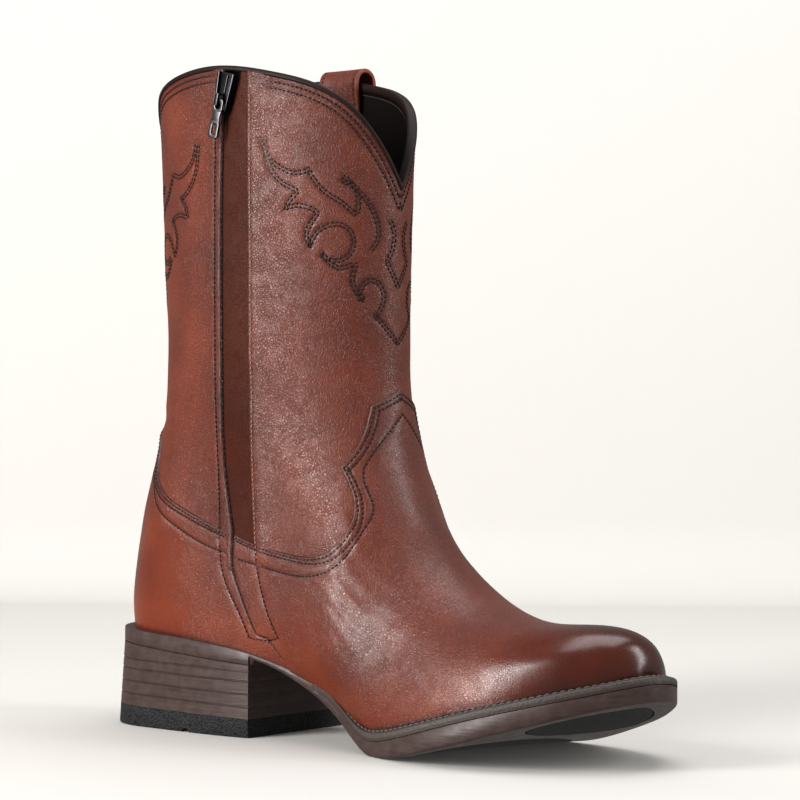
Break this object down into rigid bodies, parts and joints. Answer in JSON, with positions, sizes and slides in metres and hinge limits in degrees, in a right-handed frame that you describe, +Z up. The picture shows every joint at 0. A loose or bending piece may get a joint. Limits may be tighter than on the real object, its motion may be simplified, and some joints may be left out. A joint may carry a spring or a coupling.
{
  "type": "roper boot",
  "caption": "Left roper boot in chestnut leather with a scalloped collar, inner side zip with pull tab, outer pull loop, round toe and low stacked heel.",
  "frame": {"origin": "on the floor, at the middle of the boot's length and width", "axes": "+X toward the toe, +Y to the outer (lateral) side of this left boot, +Z up along the shaft"},
  "size_m": [0.295, 0.1034, 0.3038],
  "materials": {
    "chestnut_leather": "fine pebble grain, burnished to a gloss at toe and heel",
    "dark_leather": "satin",
    "sole": "satin, dark brown edge finish",
    "black_rubber": "matt, granular",
    "footbed": "matt",
    "gunmetal": "dark, polished"
  },
  "bodies": {
    "boot": {"outsole": "sole", "heel_stack": "sole", "welt": "sole", "heel_top_lift": "black_rubber", "ball_tread": "black_rubber", "toe_tread": "black_rubber", "insole": "footbed", "upper": "chestnut_leather", "vamp": "chestnut_leather", "counter": "chestnut_leather", "side_seam_strip": "chestnut_leather", "pull_loop": "chestnut_leather", "zip_band": "dark_leather", "zip_flap": "dark_leather", "collar_binding": "dark_leather", "zip_chain": "gunmetal", "zip_slider": "gunmetal"},
    "pull_tab": {"zip_pull": "gunmetal"}
  },
  "joints": [
    {"name": "pull_tab_hinge", "type": "hinge", "parent": "boot", "child": "pull_tab", "pos_m": [-0.06075, -0.04672, 0.28345], "axis": [-0.9703, -0.0028, 0.2419], "range_deg": [0, 160]}
  ]
}
